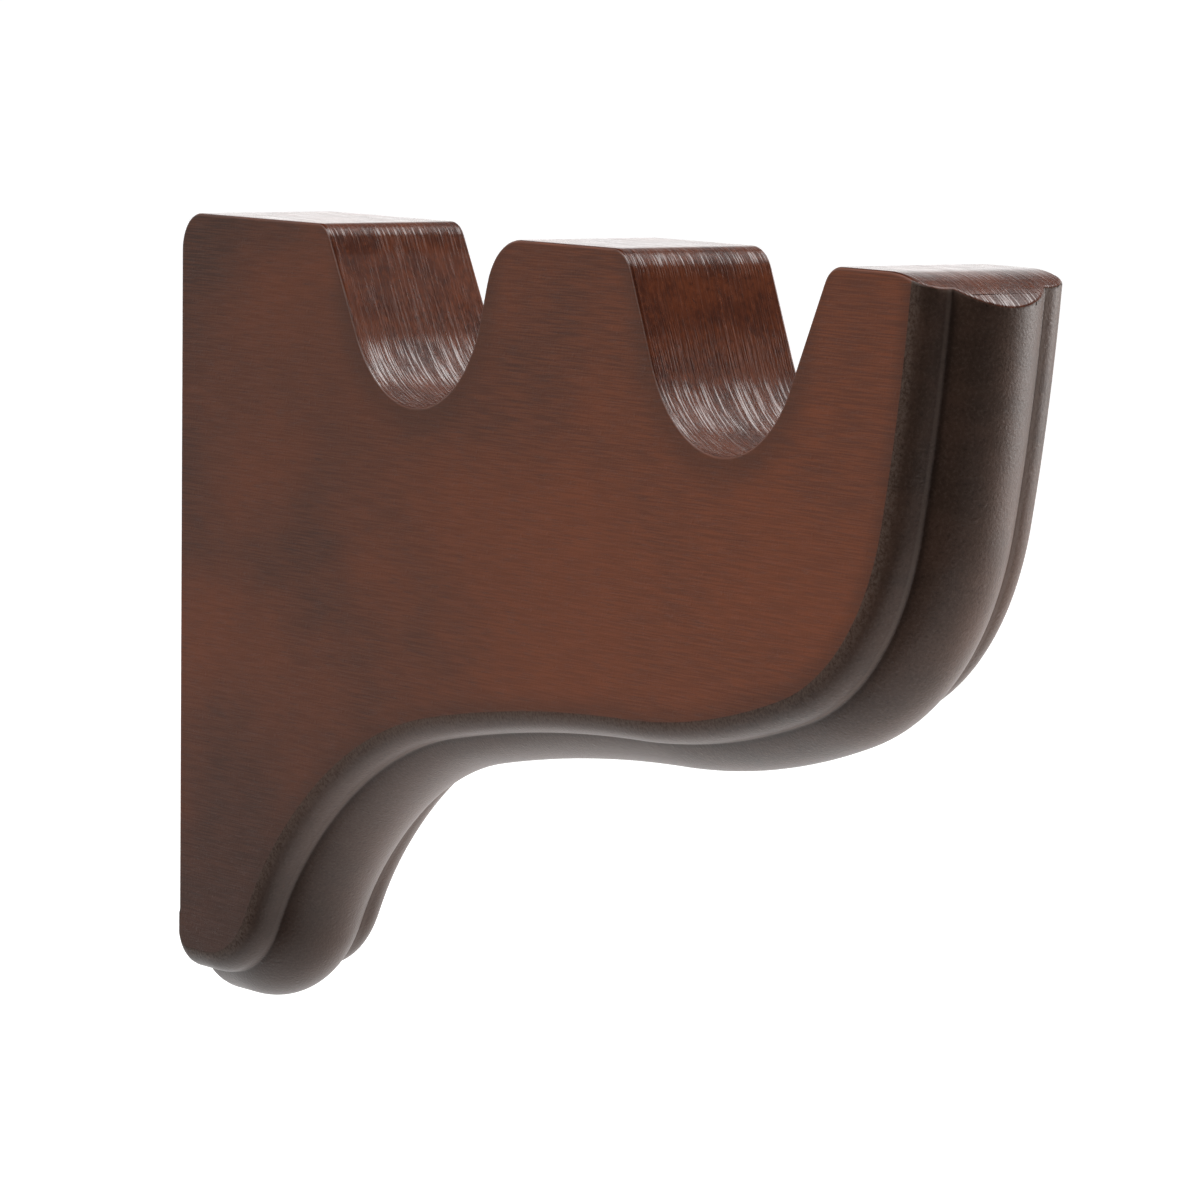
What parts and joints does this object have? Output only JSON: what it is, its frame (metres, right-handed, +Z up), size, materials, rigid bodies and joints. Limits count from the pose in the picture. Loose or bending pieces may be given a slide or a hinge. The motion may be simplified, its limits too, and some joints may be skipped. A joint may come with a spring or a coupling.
{
  "type": "curtain pole bracket",
  "caption": "Carved wooden wall bracket holding curtain poles in open round-bottomed seats, one behind the other, with a moulded S-curved underside and a keyhole hanger.",
  "frame": {"origin": "middle of the flat wall edge of the arm, where the bracket rests against the wall", "axes": "+X straight out from the wall towards the room, +Y across the thickness of the board, +Z up"},
  "size_m": [0.1981, 0.022, 0.1144],
  "materials": {
    "stained_wood": "dark walnut stain under satin lacquer, glossier on the moulding and in the seats",
    "zinc_plated_steel": "zinc-plated, satin"
  },
  "bodies": {
    "root": {"bracket_arm": "stained_wood", "hanger_plate": "zinc_plated_steel", "upper_plate_screw": "zinc_plated_steel", "lower_plate_screw": "zinc_plated_steel"}
  },
  "joints": []
}
